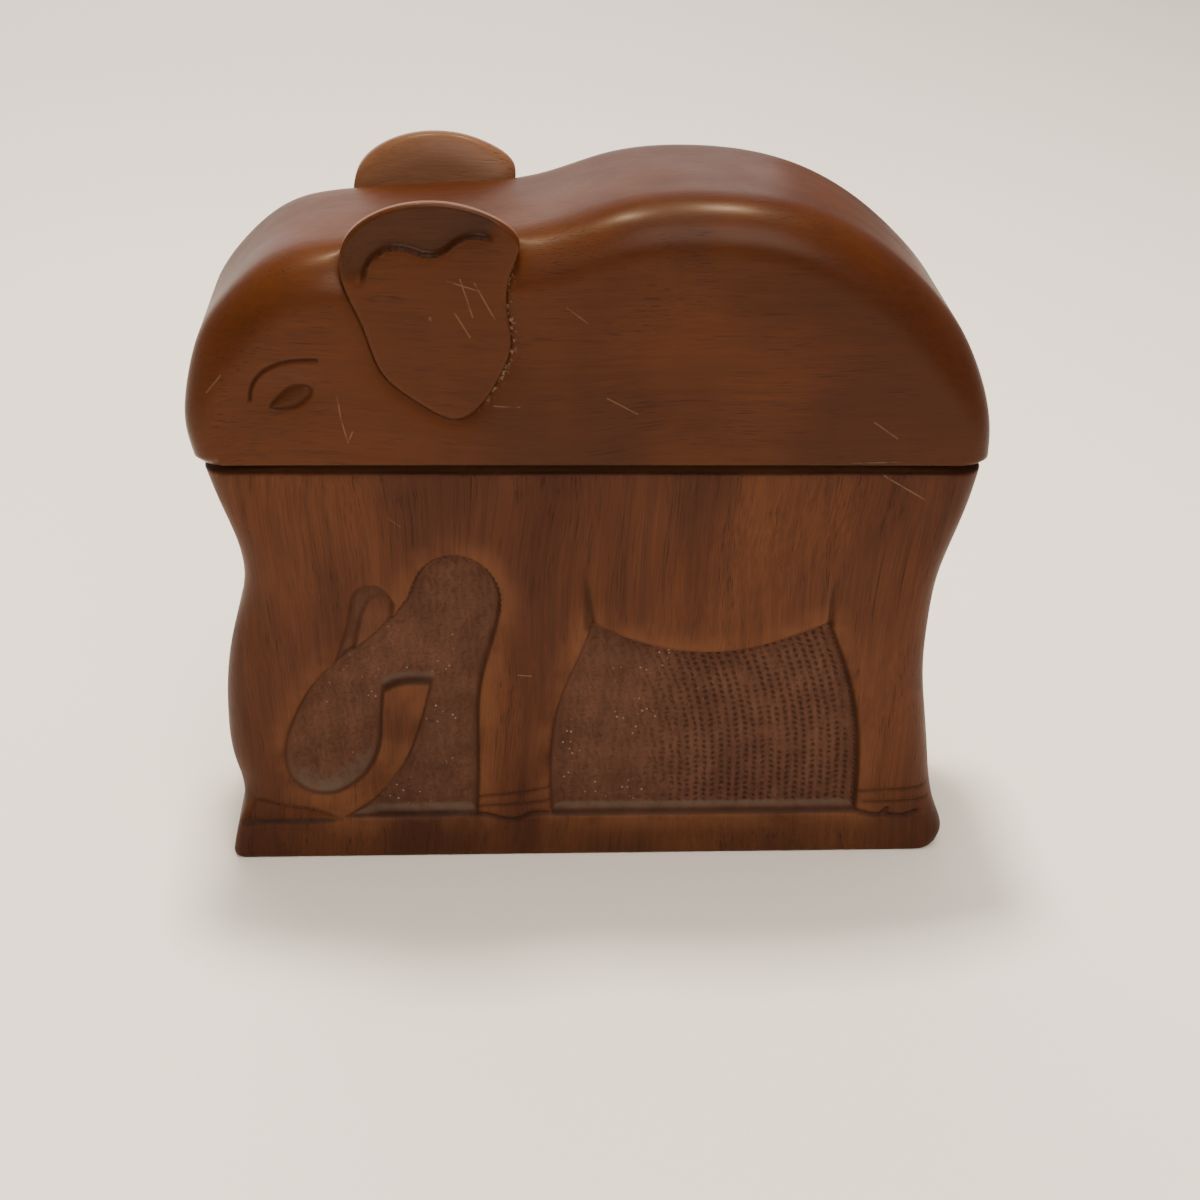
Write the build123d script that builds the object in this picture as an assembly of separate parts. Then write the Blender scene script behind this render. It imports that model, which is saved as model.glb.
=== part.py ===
"""Carved wooden elephant box: a hollow body with a plinth and a lid that lifts off.

Millimetres. +Z is up, +X runs from the trunk to the tail, and the carved faces look
along -Y and +Y. The origin is the centre of the underside.
"""
from build123d import *
import os

# ---- Driving dimensions -------------------------------------------------------
LENGTH = 179.6          # tip of the forehead to the tail end of the plinth
DEPTH = 55.0            # thickness of both blocks, front face to back face
BODY_TOP = 104.75       # rim of the body, where the lid's shadow line starts
LID_BOTTOM = 106.65     # lower edge of the lid
CROWN = 166.0           # top of the back, level with the tops of the ears
PLINTH_TOP = 11.8       # ledge under the feet

BODY_ROUND = 6.0        # round-over along the body's ends
LID_ROUND = 9.0         # round-over along the lid's back and brow
RELIEF = 3.5            # depth of the punched ground behind legs and trunk

CAVITY_LENGTH = 132.0   # inside of the body
CAVITY_DEPTH = 37.0
CAVITY_FLOOR = 14.0
CAVITY_CORNER = 8.0
LIP_WALL = 4.0          # raised lip round the mouth
LIP_TOP = 112.0         # the lid's shoulder bears on the lip here
LIP_PLAY = 0.5          # play between the lip and the lid's rebate
LID_HOLLOW_LENGTH = 124.0
LID_HOLLOW_TOP = 140.0

TRENCH_WIDTH = 2.2      # groove cut round each ear
TRENCH_DEPTH = 1.8
EAR_VALLEY_FLOOR = 155.2    # top of the head between the ears
EAR_VALLEY_HALF_WIDTH = 24.0
EYE_DEPTH = 0.8

HALF_LENGTH = LENGTH / 2
HALF_DEPTH = DEPTH / 2


# ---- Elevations (x, z), each with the points its shape needs -------------------
LID_BACK_LINE = [
    (-88.3, LID_BOTTOM), (-HALF_LENGTH, 114.5), (-88.9, 124.6), (-85.6, 134.8),
    (-78.4, 144.4), (-67.8, 152.4), (-55.2, 155.1), (-35.0, 156.5), (-11.4, 159.2),
    (3.2, 164.0), (21.5, CROWN), (43.8, 163.0), (59.1, 155.8), (71.3, 146.1),
    (79.9, 136.4), (85.9, 124.6), (88.6, 113.0), (88.9, LID_BOTTOM),
]

TRUNK_END_LINE = [
    (-86.8, BODY_TOP), (-84.3, 96.2), (-80.5, 84.0), (-79.8, 77.3), (-82.6, 64.2),
    (-85.3, 51.3), (-86.2, 38.3), (-85.1, 24.8), (-83.4, 17.0), (-85.1, 9.3),
    (-87.0, 0.0),
]

TAIL_END_LINE = [
    (88.2, 0.0), (HALF_LENGTH, 4.5), (87.7, 11.3), (85.2, 22.4), (82.9, 36.8),
    (80.8, 50.6), (80.5, 64.2), (81.5, 77.3), (83.1, 84.0), (86.3, 96.2),
    (87.8, BODY_TOP),
]

EAR_LINE = [
    (-54.4, 150.2), (-53.5, 157.5), (-46.5, 163.7), (-35.1, CROWN), (-23.5, 163.3),
    (-17.3, 157.8), (-19.2, 150.4), (-19.6, 141.8), (-18.9, 136.0), (-21.3, 127.8),
    (-30.8, 117.7), (-38.3, 121.2), (-46.4, 128.4), (-50.3, 139.0),
]

# Ground inside the curl of the trunk and in front of the fore leg: the leg's edge
# with the arch over it, the trunk's inner edge, its tip, and its outer edge.
FORE_LEG_EDGE = [
    (-26.4, PLINTH_TOP), (-26.1, 31.9), (-25.5, 49.4), (-22.4, 63.4), (-21.4, 74.5),
    (-24.5, 80.8), (-32.1, 84.2), (-38.5, 81.4), (-42.0, 73.8),
]
TRUNK_INNER_EDGE = [
    (-42.0, 73.8), (-48.9, 64.9), (-55.8, 59.0), (-63.0, 52.8), (-69.6, 42.0),
    (-72.8, 30.9), (-70.6, 21.9), (-63.4, 18.5), (-55.8, 22.0), (-50.0, 31.5),
    (-48.9, 43.0), (-48.3, 48.2),
]
TRUNK_TIP = [(-48.3, 48.2), (-45.6, 49.5), (-37.8, 50.0)]
TRUNK_OUTER_EDGE = [
    (-37.8, 50.0), (-39.7, 41.7), (-42.8, 31.5), (-50.3, 19.2), (-59.5, PLINTH_TOP),
]

# Mouth: a notch that runs up from the ground behind the trunk.
MOUTH_EDGE = [
    (-60.2, 54.8), (-57.2, 63.6), (-55.8, 70.0), (-53.4, 75.9), (-49.4, 76.4), (-45.4, 71.6),
]
MOUTH_FOOT = [(-45.4, 71.6), (-45.8, 67.0), (-50.0, 60.0), (-60.2, 54.8)]

# Ground under the belly: belly, hind leg and fore leg.
BELLY_EDGE = [
    (0.0, 66.5), (15.6, 59.9), (23.4, 58.7), (33.5, 58.9), (47.7, 63.0), (55.9, 66.4),
]
HIND_LEG_EDGE = [(55.9, 66.4), (61.4, 52.7), (65.6, 36.1), (67.0, PLINTH_TOP)]
FORE_LEG_BACK_EDGE = [
    (-8.8, PLINTH_TOP), (-9.4, 25.2), (-7.5, 44.0), (-2.0, 60.0), (0.0, 66.5),
]

# Creases that run up from the two ends of the belly, each a narrow triangle.
FORE_CREASE = [(-2.6, 80.0), (-1.8, 64.0), (1.0, 64.0)]
HIND_CREASE = [(56.0, 78.0), (55.2, 65.0), (56.6, 65.0)]

EYE_LEFT = (-70.8, 120.8)
EYE_TOP = (-65.8, 125.3)
EYE_RIGHT = (-61.6, 124.6)
EYE_BOTTOM = (-66.4, 120.2)


# ---- Helpers ----------------------------------------------------------------------
def elevation(*curves):
    """Closed x-z outline made of curves laid end to end, as a face."""
    return make_face(list(curves))


def through_block(face):
    """Carry an elevation through the full thickness of the block."""
    return extrude(Plane.XZ * face, amount=HALF_DEPTH, both=True)


def pockets(face, depth):
    """Cutter that sinks an elevation into both carved faces."""
    front = extrude(Plane.XZ.offset(HALF_DEPTH) * face, amount=-depth)
    return [front, mirror(front, about=Plane.XZ)]


def upright_box(length, depth, corner, bottom, top):
    """Round-cornered upright box, centred on the Z axis."""
    outline = RectangleRounded(length, depth, corner)
    return extrude(Pos(0, 0, bottom) * outline, amount=top - bottom)


def carved_edges(solid, curve):
    """The two edges of a block that follow a curve of its elevation."""
    found = []
    for side in (-HALF_DEPTH, HALF_DEPTH):
        middle = Vector((curve @ 0.5).X, side, (curve @ 0.5).Y)
        found.append(min(solid.edges(), key=lambda edge: (edge @ 0.5 - middle).length))
    return found


# ---- Body -----------------------------------------------------------------------------
def body_block():
    """Upright-grain block with both ends carved to the elephant's outline."""
    trunk_end = Spline(*TRUNK_END_LINE)
    tail_end = Spline(*TAIL_END_LINE)
    underside = Line(TRUNK_END_LINE[-1], TAIL_END_LINE[0])
    rim = Line(TAIL_END_LINE[-1], TRUNK_END_LINE[0])
    block = through_block(elevation(trunk_end, underside, tail_end, rim))
    edges = carved_edges(block, trunk_end) + carved_edges(block, tail_end)
    return fillet(edges, BODY_ROUND)


def trunk_ground():
    """Elevation of the ground between the trunk and the fore leg."""
    return elevation(
        Spline(*FORE_LEG_EDGE), Spline(*TRUNK_INNER_EDGE), Spline(*TRUNK_TIP),
        Spline(*TRUNK_OUTER_EDGE), Line(TRUNK_OUTER_EDGE[-1], FORE_LEG_EDGE[0]),
    )


def mouth():
    """Elevation of the mouth notch."""
    return elevation(Spline(*MOUTH_EDGE), Polyline(*MOUTH_FOOT))


def belly_ground():
    """Elevation of the ground under the belly, between the legs."""
    return elevation(
        Spline(*BELLY_EDGE), Spline(*HIND_LEG_EDGE),
        Line(HIND_LEG_EDGE[-1], FORE_LEG_BACK_EDGE[0]), Spline(*FORE_LEG_BACK_EDGE),
    )


def make_body():
    """Box body: block, raised lip, cavity and the sunk grounds on both faces."""
    body = body_block()
    body += upright_box(
        CAVITY_LENGTH + 2 * LIP_WALL, CAVITY_DEPTH + 2 * LIP_WALL,
        CAVITY_CORNER + LIP_WALL, BODY_TOP, LIP_TOP,
    )
    body -= upright_box(CAVITY_LENGTH, CAVITY_DEPTH, CAVITY_CORNER, CAVITY_FLOOR, LIP_TOP)
    creases = [elevation(Polyline(*points, close=True)) for points in (FORE_CREASE, HIND_CREASE)]
    for face in (trunk_ground(), mouth(), belly_ground(), *creases):
        for cutter in pockets(face, RELIEF):
            body -= cutter
    return body


# ---- Lid ----------------------------------------------------------------------------------
def lid_block():
    """Level-grain block with the brow, back and rump rounded over."""
    back_line = Spline(*LID_BACK_LINE)
    lower_edge = Line(LID_BACK_LINE[-1], LID_BACK_LINE[0])
    block = through_block(elevation(back_line, lower_edge))
    return fillet(carved_edges(block, back_line), LID_ROUND)


def ear_face():
    """Elevation of one ear."""
    return elevation(Spline(*EAR_LINE, periodic=True))


def ears():
    """Both ears, each thinning upwards to its rim over the valley between them."""
    valley_depth = CROWN - EAR_VALLEY_FLOOR
    valley = Pos(0, CROWN) * Ellipse(EAR_VALLEY_HALF_WIDTH, valley_depth)
    valley += Pos(0, CROWN + valley_depth) * Rectangle(
        2 * EAR_VALLEY_HALF_WIDTH, 2 * valley_depth
    )
    cutter = extrude(Plane.YZ * valley, amount=HALF_LENGTH, both=True)
    return through_block(ear_face()) - cutter


def ear_bed():
    """Elevation of the bed that an ear stands in, one trench wider all round."""
    ear = Spline(*EAR_LINE, periodic=True)
    count = len(EAR_LINE)
    outer = []
    for step in range(count):
        along = ear % (step / count)
        outward = Vector(-along.Y, along.X)
        outer.append(ear @ (step / count) + outward * TRENCH_WIDTH)
    return elevation(Spline(*outer, periodic=True))


def eye():
    """Elevation of one almond eye."""
    upper_lid = ThreePointArc(EYE_LEFT, EYE_TOP, EYE_RIGHT)
    lower_lid = ThreePointArc(EYE_RIGHT, EYE_BOTTOM, EYE_LEFT)
    return elevation(upper_lid, lower_lid)


def make_lid():
    """Lid: block, ears in their trenches, eyes, the rebate for the lip and the hollow."""
    lid = lid_block()
    for cutter in pockets(ear_bed(), TRENCH_DEPTH):
        lid -= cutter
    lid += ears()
    for cutter in pockets(eye(), EYE_DEPTH):
        lid -= cutter
    lid -= upright_box(
        CAVITY_LENGTH + 2 * (LIP_WALL + LIP_PLAY), CAVITY_DEPTH + 2 * (LIP_WALL + LIP_PLAY),
        CAVITY_CORNER + LIP_WALL + LIP_PLAY, LID_BOTTOM, LIP_TOP,
    )
    lid -= upright_box(
        LID_HOLLOW_LENGTH, CAVITY_DEPTH, CAVITY_CORNER, LIP_TOP, LID_HOLLOW_TOP
    )
    return lid


def main():
    """Write one STEP file for each piece."""
    os.makedirs("parts", exist_ok=True)
    export_step(make_body(), "parts/box_body.step")
    export_step(make_lid(), "parts/lid.step")


main()
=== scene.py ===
from math import cos, pi, radians, sin

import bmesh
import bpy
import numpy as np
from mathutils import Matrix, Vector


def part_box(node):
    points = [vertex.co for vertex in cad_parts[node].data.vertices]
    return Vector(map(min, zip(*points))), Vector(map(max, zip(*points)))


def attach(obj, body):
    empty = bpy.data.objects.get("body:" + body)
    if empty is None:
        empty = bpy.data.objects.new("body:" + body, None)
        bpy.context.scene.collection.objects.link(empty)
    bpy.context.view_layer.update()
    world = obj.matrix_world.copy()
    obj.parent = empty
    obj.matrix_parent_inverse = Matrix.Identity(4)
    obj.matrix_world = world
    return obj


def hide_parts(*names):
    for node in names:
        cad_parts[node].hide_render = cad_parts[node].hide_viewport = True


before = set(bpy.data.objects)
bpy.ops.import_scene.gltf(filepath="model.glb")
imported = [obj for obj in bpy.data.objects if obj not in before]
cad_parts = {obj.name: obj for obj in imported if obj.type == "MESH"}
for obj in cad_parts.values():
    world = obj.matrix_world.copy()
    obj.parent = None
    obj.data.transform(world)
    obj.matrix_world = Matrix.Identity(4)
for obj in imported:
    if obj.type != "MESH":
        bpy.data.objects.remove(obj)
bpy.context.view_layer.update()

# Looks of the carved wooden elephant box. Shapes are worked out in millimetres in the
# frame's axes (+X towards the tail, -Y out of the near face, +Z up) and put into the
# meshes in metres.
MM = 0.001

_, body_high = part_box("box_body")
lid_low, lid_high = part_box("lid")

HALF_DEPTH = body_high.y / MM
HALF_LENGTH = body_high.x / MM
LIP_TOP = body_high.z / MM
LID_BOTTOM = lid_low.z / MM
CROWN = lid_high.z / MM
SHADOW_GAP = 1.9            # dark line between the body's rim and the lid
BODY_TOP = LID_BOTTOM - SHADOW_GAP
PLINTH_TOP = 11.8

RELIEF = 3.5                # depth of the punched grounds
CAVITY_HALF_LENGTH = 66.0
CAVITY_HALF_DEPTH = 18.5
CAVITY_CORNER = 8.0
CAVITY_FLOOR = 14.0
LIP_WALL = 4.0
LIP_PLAY = 0.5              # play between the lip and the lid's rebate
LID_HOLLOW_HALF_LENGTH = 62.0
LID_HOLLOW_TOP = 140.0
COVE = 3.0                  # round between the hollows' walls and their floor or ceiling

# ---- Elevations (x, z) ----
LID_BACK_LINE = [
    (-88.3, LID_BOTTOM), (-HALF_LENGTH, 114.5), (-88.9, 124.6), (-85.6, 134.8),
    (-78.4, 144.4), (-67.8, 152.4), (-55.2, 155.1), (-35.0, 156.5), (-11.4, 159.2),
    (3.2, 164.0), (21.5, CROWN), (43.8, 163.0), (59.1, 155.8), (71.3, 146.1),
    (79.9, 136.4), (85.9, 124.6), (88.6, 113.0), (88.9, LID_BOTTOM),
]
TRUNK_END_LINE = [
    (-87.0, 0.0), (-85.1, 9.3), (-83.4, 17.0), (-85.1, 24.8), (-86.2, 38.3),
    (-85.3, 51.3), (-82.6, 64.2), (-79.8, 77.3), (-80.5, 84.0), (-84.3, 96.2),
    (-86.8, BODY_TOP),
]
TAIL_END_LINE = [
    (88.2, 0.0), (HALF_LENGTH, 4.5), (87.7, 11.3), (85.2, 22.4), (82.9, 36.8),
    (80.8, 50.6), (80.5, 64.2), (81.5, 77.3), (83.1, 84.0), (86.3, 96.2),
    (87.8, BODY_TOP),
]
EAR_LINE = [
    (-54.4, 150.2), (-53.5, 157.5), (-46.5, 163.7), (-35.1, CROWN), (-23.5, 163.3),
    (-17.3, 157.8), (-19.2, 150.4), (-19.6, 141.8), (-18.9, 136.0), (-21.3, 127.8),
    (-30.8, 117.7), (-38.3, 121.2), (-46.4, 128.4), (-50.3, 139.0),
]
EAR_FOLD = [
    (-49.6, 147.4), (-48.9, 151.8), (-46.6, 154.6), (-43.2, 156.0), (-40.0, 155.5),
    (-35.6, 154.4), (-32.3, 155.6), (-30.1, 157.4), (-27.3, 158.5), (-22.4, 157.7),
]
FORE_LEG_EDGE = [
    (-26.4, PLINTH_TOP), (-26.1, 31.9), (-25.5, 49.4), (-22.4, 63.4), (-21.4, 74.5),
    (-24.5, 80.8), (-32.1, 84.2), (-38.5, 81.4), (-42.0, 73.8),
]
TRUNK_INNER_EDGE = [
    (-42.0, 73.8), (-48.9, 64.9), (-55.8, 59.0), (-63.0, 52.8), (-69.6, 42.0),
    (-72.8, 30.9), (-70.6, 21.9), (-63.4, 18.5), (-55.8, 22.0), (-50.0, 31.5),
    (-48.9, 43.0), (-48.3, 48.2),
]
TRUNK_TIP = [(-48.3, 48.2), (-45.6, 49.5), (-37.8, 50.0)]
TRUNK_OUTER_EDGE = [
    (-37.8, 50.0), (-39.7, 41.7), (-42.8, 31.5), (-50.3, 19.2), (-59.5, PLINTH_TOP),
]
MOUTH_EDGE = [
    (-60.2, 54.8), (-57.2, 63.6), (-55.8, 70.0), (-53.4, 75.9), (-49.4, 76.4), (-45.4, 71.6),
]
MOUTH_FOOT = [(-45.4, 71.6), (-45.8, 67.0), (-50.0, 60.0), (-60.2, 54.8)]
BELLY_EDGE = [
    (0.0, 66.5), (15.6, 59.9), (23.4, 58.7), (33.5, 58.9), (47.7, 63.0), (55.9, 66.4),
]
HIND_LEG_EDGE = [(55.9, 66.4), (61.4, 52.7), (65.6, 36.1), (67.0, PLINTH_TOP)]
FORE_LEG_BACK_EDGE = [
    (-8.8, PLINTH_TOP), (-9.4, 25.2), (-7.5, 44.0), (-2.0, 60.0), (0.0, 66.5),
]


# ---- Curves and distances ----
def smooth_line(points, count, closed=False):
    """Natural cubic spline through the points, with the chord length as its parameter.

    A closed line repeats three points past each end, so that it meets itself smoothly.
    """
    knots = np.array(points, float)
    if closed:
        knots = np.vstack([knots[-3:], knots, knots[:4]])
    chord = np.r_[0, np.cumsum(np.hypot(*np.diff(knots, axis=0).T))]
    h = np.diff(chord)
    n = len(knots)
    system = np.eye(n)
    inner = np.arange(1, n - 1)
    system[inner, inner - 1] = h[:-1]
    system[inner, inner] = 2 * (h[:-1] + h[1:])
    system[inner, inner + 1] = h[1:]
    slope = np.diff(knots, axis=0) / h[:, None]
    right = np.zeros_like(knots)
    right[1:-1] = 6 * np.diff(slope, axis=0)
    bend = np.linalg.solve(system, right)
    start, end = (chord[3], chord[-4]) if closed else (chord[0], chord[-1])
    t = np.linspace(start, end, count + 1)[:-1] if closed else np.linspace(start, end, count)
    span = np.clip(np.searchsorted(chord, t, side="right") - 1, 0, n - 2)
    a = ((chord[span + 1] - t) / h[span])[:, None]
    b = 1 - a
    step = h[span][:, None] ** 2 / 6
    return (a * knots[span] + b * knots[span + 1]
            + ((a**3 - a) * bend[span] + (b**3 - b) * bend[span + 1]) * step)


def in_parts(count):
    """Point numbers in runs short enough to compare with a whole outline at once."""
    return np.array_split(np.arange(count), max(1, count // 4000))


def distance_to(x, z, line):
    """Shortest distance from each point to a line of short sides, and how far along the
    line its foot is: |p - a - t (b - a)| with t kept between 0 and 1, the least of all."""
    flat = np.c_[np.ravel(x), np.ravel(z)]
    start, side = line[:-1], np.diff(line, axis=0)
    length = np.hypot(*side.T)
    gone = np.r_[0, np.cumsum(length)[:-1]]
    square = np.maximum(length**2, 1e-12)
    near, along = np.empty(len(flat)), np.empty(len(flat))
    for part in in_parts(len(flat)):
        offset = flat[part, None, :] - start
        t = np.clip((offset * side).sum(-1) / square, 0, 1)
        gap = np.hypot(*np.moveaxis(offset - t[..., None] * side, -1, 0))
        best = gap.argmin(1)
        row = np.arange(len(part))
        near[part] = gap[row, best]
        along[part] = gone[best] + t[row, best] * length[best]
    return near.reshape(np.shape(x)), along.reshape(np.shape(x))


def within(x, z, outline):
    """True inside a closed outline: a level ray to the right crosses it an odd number of times."""
    flat = np.c_[np.ravel(x), np.ravel(z)]
    a, b = outline[:-1], outline[1:]
    rise = np.where(b[:, 1] == a[:, 1], 1e-9, b[:, 1] - a[:, 1])
    inside = np.empty(len(flat), bool)
    for part in in_parts(len(flat)):
        px, pz = flat[part, :1], flat[part, 1:]
        spans = (a[:, 1] > pz) != (b[:, 1] > pz)
        cross = a[:, 0] + (pz - a[:, 1]) / rise * (b[:, 0] - a[:, 0])
        inside[part] = (spans & (px < cross)).sum(1) % 2 == 1
    return inside.reshape(np.shape(x))


def reach(x, z, outline):
    """Signed distance to a closed outline, positive inside."""
    near, along = distance_to(x, z, outline)
    return np.where(within(x, z, outline), near, -near), along


def joined(*lines):
    """Smooth lines laid end to end and closed, as one outline."""
    parts = [smooth_line(line, 12 * len(line)) if len(line) > 2 else np.array(line, float)
             for line in lines]
    outline = np.vstack(parts)
    return np.vstack([outline, outline[:1]])


def ease(value, low, high):
    """0 below low, 1 above high, and 3t^2 - 2t^3 between."""
    t = np.clip((value - low) / (high - low), 0, 1)
    return t * t * (3 - 2 * t)


def wobble(x, z, size, seed):
    """Smooth irregular field between about -1 and 1: six sine waves of random heading
    whose lengths are near size."""
    rng = np.random.default_rng(seed)
    total = np.zeros(np.shape(x))
    for _ in range(6):
        heading, phase = rng.uniform(0, 2 * pi, 2)
        wave = 2 * pi / (size * rng.uniform(0.7, 1.5))
        total += np.sin(wave * (x * cos(heading) + z * sin(heading)) + phase)
    return total / 3


TRUNK_GROUND = joined(
    FORE_LEG_EDGE, TRUNK_INNER_EDGE, TRUNK_TIP, TRUNK_OUTER_EDGE,
    [TRUNK_OUTER_EDGE[-1], FORE_LEG_EDGE[0]],
)
MOUTH = np.vstack([smooth_line(MOUTH_EDGE, 80), MOUTH_FOOT])
BELLY_GROUND = joined(
    BELLY_EDGE, HIND_LEG_EDGE, [HIND_LEG_EDGE[-1], FORE_LEG_BACK_EDGE[0]],
    FORE_LEG_BACK_EDGE,
)
EAR = smooth_line(EAR_LINE, 260, closed=True)
EAR_OUTLINE = np.vstack([EAR, EAR[:1]])


# ---- Mesh making ----
def put_mesh(name, points, quads, triangles, fields):
    """Mesh object from arrays: points in millimetres and fields as named point values,
    either single numbers or pairs."""
    mesh = bpy.data.meshes.new(name)
    faces = [*map(tuple, quads.tolist()), *map(tuple, triangles.tolist())]
    mesh.from_pydata((points * MM).tolist(), [], faces)
    for label, values in fields.items():
        kind, slot = ("FLOAT", "value") if values.ndim == 1 else ("FLOAT_VECTOR", "vector")
        if values.ndim == 2:
            values = np.c_[values, np.zeros(len(values))]
        layer = mesh.attributes.new(label, kind, "POINT")
        layer.data.foreach_set(slot, values.astype(np.float32).ravel())
    shape = bmesh.new()
    shape.from_mesh(mesh)
    bmesh.ops.remove_doubles(shape, verts=shape.verts, dist=2e-6)
    bmesh.ops.dissolve_degenerate(shape, edges=shape.edges, dist=1e-7)
    shape.to_mesh(mesh)
    shape.free()
    mesh.shade_smooth()
    made = bpy.data.objects.new(name, mesh)
    bpy.context.scene.collection.objects.link(made)
    return made


def ring_quads(rings, count, first=0):
    """Quads of a stack of closed rings of count points each, in the order that faces out
    when the rings run anticlockwise seen from where the stack is going."""
    row = np.arange(rings - 1)[:, None] * count + first
    here = np.arange(count)
    there = (here + 1) % count
    return np.stack([row + here, row + there, row + count + there, row + count + here],
                    -1).reshape(-1, 4)


def fan(ring, pole, outward):
    """Triangles from a ring of point numbers to one pole."""
    there = np.roll(ring, -1)
    pair = (ring, there) if outward else (there, ring)
    return np.stack([*pair, np.full(len(ring), pole)], -1)


# ---- Body ----
END_ROUND = 7.5             # upright corners of the body, in plan
PLINTH_TRUNK_ROUND = 2.2    # upright corners of the plinth under the trunk
PLINTH_TAIL_ROUND = 4.5     # and under the tail
EDGE_ROUND = 0.8            # rubbed edges of the rim, the plinth's foot and the lid
PLINTH_CORNER = 1.8         # lower corners of the plinth, seen from the side


def spread(weights, count):
    """count + 1 values from 0 to 1, closer together where weights = [(value, weight)] is
    large: the inverse of the running total of the weight."""
    place, weight = np.array(weights, float).T
    fine = np.linspace(0, 1, 2001)
    total = np.r_[0, np.cumsum(np.interp(fine, place, weight)[:-1])]
    return np.interp(np.linspace(0, 1, count + 1), total / total[-1], fine)


FRONT_COLUMNS = spread(
    [(0, 0.8), (0.06, 1.0), (0.08, 1.55), (0.36, 1.55), (0.38, 1.0), (0.45, 1.0),
     (0.47, 1.5), (0.94, 1.5), (0.96, 1.0), (1, 0.8)], 286)
BACK_COLUMNS = np.linspace(0, 1, 153)
CORNER_STEPS = 7
END_STEPS = 9


def plan(left, right, half, left_round, right_round):
    """Round-cornered rectangles in plan, one row for each entry of the arguments: the near
    side left to right, then the right end, the far side and the left end, with quarter
    circles at the corners. Gives x, y and the outward direction."""
    left, right, half, left_round, right_round = (
        np.asarray(v, float)[:, None] for v in np.broadcast_arrays(
            left, right, half, left_round, right_round))
    rows = len(left)
    turn = np.linspace(0, pi / 2, CORNER_STEPS + 2)[1:-1]
    inner_left, inner_right = left + left_round, right - right_round
    side = np.linspace(-1, 1, END_STEPS)
    stretches = []

    def add(*values):
        shape = (rows, np.shape(values[2])[-1])
        stretches.append([np.broadcast_to(value, shape) for value in values])

    def corner(middle, upward, radius, from_angle):
        angle = turn + from_angle
        add(middle + radius * np.cos(angle), upward * (half - radius) + radius * np.sin(angle),
            np.cos(angle), np.sin(angle))

    flat_front = np.zeros(len(FRONT_COLUMNS))
    add(inner_left + (inner_right - inner_left) * FRONT_COLUMNS, -half, flat_front, flat_front - 1)
    corner(inner_right, -1, right_round, -pi / 2)
    add(right, (half - right_round) * side, np.ones(END_STEPS), np.zeros(END_STEPS))
    corner(inner_right, 1, right_round, 0)
    flat_back = np.zeros(len(BACK_COLUMNS))
    add(inner_right + (inner_left - inner_right) * BACK_COLUMNS, half, flat_back, flat_back + 1)
    corner(inner_left, 1, left_round, pi / 2)
    add(left, -(half - left_round) * side, -np.ones(END_STEPS), np.zeros(END_STEPS))
    corner(inner_left, -1, left_round, pi)
    return tuple(np.concatenate(part, 1) for part in zip(*stretches))


def end_lines(z):
    """x of the trunk end and of the tail end at each height, with the plinth's lower
    corners turned in on a quarter circle."""
    trunk = smooth_line(TRUNK_END_LINE, 300)
    tail = smooth_line(TAIL_END_LINE, 300)
    low = np.clip(PLINTH_CORNER - z, 0, PLINTH_CORNER)
    tuck = PLINTH_CORNER - np.sqrt(PLINTH_CORNER**2 - low**2)
    return np.interp(z, trunk[:, 1], trunk[:, 0]) + tuck, np.interp(z, tail[:, 1], tail[:, 0]) - tuck


ANKLE_LINES = [
    [(-27.8, 17.4), (-22.5, 18.0), (-16.7, 18.8), (-9.5, 20.2)],
    [(-27.8, 14.4), (-22.5, 15.0), (-14.7, 15.6), (-9.3, 16.4)],
    [(66.5, 18.0), (76.3, 18.6), (84.2, 19.4), (90.0, 20.2)],
    [(68.6, 15.0), (78.2, 15.2), (85.1, 16.0), (91.0, 16.8)],
]
TOE_NOTCHES = [
    [(-28.0, 11.9), (-25.4, 12.3), (-22.4, 11.4)],
    [(-22.4, 11.4), (-17.0, 10.9), (-13.2, 12.6), (-9.6, 12.6)],
    [(65.6, 12.8), (68.6, 11.7), (73.6, 11.6), (74.6, 12.9)],
    [(74.6, 11.2), (77.4, 10.7), (80.2, 11.3), (82.0, 12.2)],
]
TRUNK_FOOT_LINE = [(-86.0, 19.6), (-81.1, 18.2), (-73.2, 15.8), (-65.1, 13.8), (-60.6, 11.6)]
PLINTH_LINE = [(-88.0, 10.9), (-78.5, 10.8), (-70.0, 10.4), (-64.0, 10.6), (-60.0, 11.0)]
FORE_CREASE = [(-2.0, 81.0), (-1.7, 77.0), (-1.0, 71.5), (-0.4, 65.5)]
HIND_CREASE = [(56.4, 79.0), (55.8, 74.0), (55.9, 70.0), (56.0, 65.5)]
LOWER_LIP = [
    (-55.6, 58.4), (-54.9, 62.5), (-53.8, 67.8), (-52.0, 72.0), (-48.6, 73.0),
    (-44.4, 71.8), (-45.0, 66.0), (-50.0, 60.0), (-54.6, 56.4), (-55.6, 58.4),
]
# Each cut line with its depth and width, and the creases that widen downwards.
CUTS = [(line, 0.55, 0.45) for line in ANKLE_LINES] + [(line, 0.9, 0.6) for line in TOE_NOTCHES]
CUTS += [(TRUNK_FOOT_LINE, 0.45, 0.5), (PLINTH_LINE, 0.4, 0.4)]
CREASES = [(FORE_CREASE, 1.3, 1.15), (HIND_CREASE, 1.3, 0.7)]
EDGE_SOFTENING = 0.22       # how far the raised side's edge is rubbed down


def groove(x, z, points, depth, width):
    """Gouged line: depth times exp(-(distance / width)^2)."""
    gap, _ = distance_to(x, z, smooth_line(points, 40))
    return depth * np.exp(-((gap / width) ** 2))


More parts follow.
